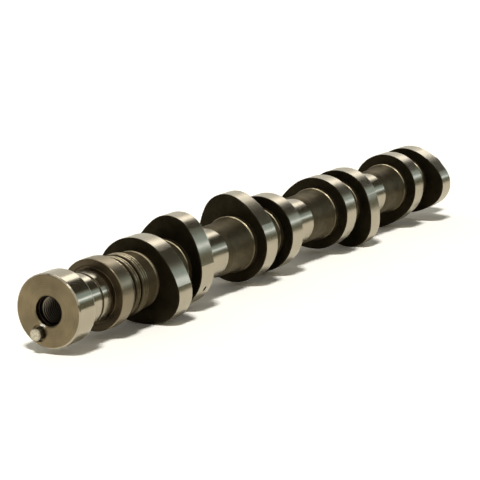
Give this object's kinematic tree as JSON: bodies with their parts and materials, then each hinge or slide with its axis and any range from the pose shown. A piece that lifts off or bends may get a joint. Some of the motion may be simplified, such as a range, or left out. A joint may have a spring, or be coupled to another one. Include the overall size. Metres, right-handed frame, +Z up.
{
  "type": "camshaft",
  "caption": "One-piece cast camshaft with paired lobes between ground bearing journals, a thrust collar, and a nose flange with a bolt hole and a dowel pin.",
  "frame": {"origin": "centre of the nose flange's front face, on the shaft's axis", "axes": "+X along the shaft's axis from the nose to the rear end, +Z up as the shaft lies on three of its lobes"},
  "size_m": [0.4454, 0.0549, 0.0541],
  "materials": {
    "cast_iron": "ground lobes, journals, flange and collar; as-cast barrels and lobe sides",
    "pin_steel": "ground, with a mottled end"
  },
  "bodies": {
    "root": {"camshaft": "cast_iron", "dowel_pin": "pin_steel"}
  },
  "joints": []
}
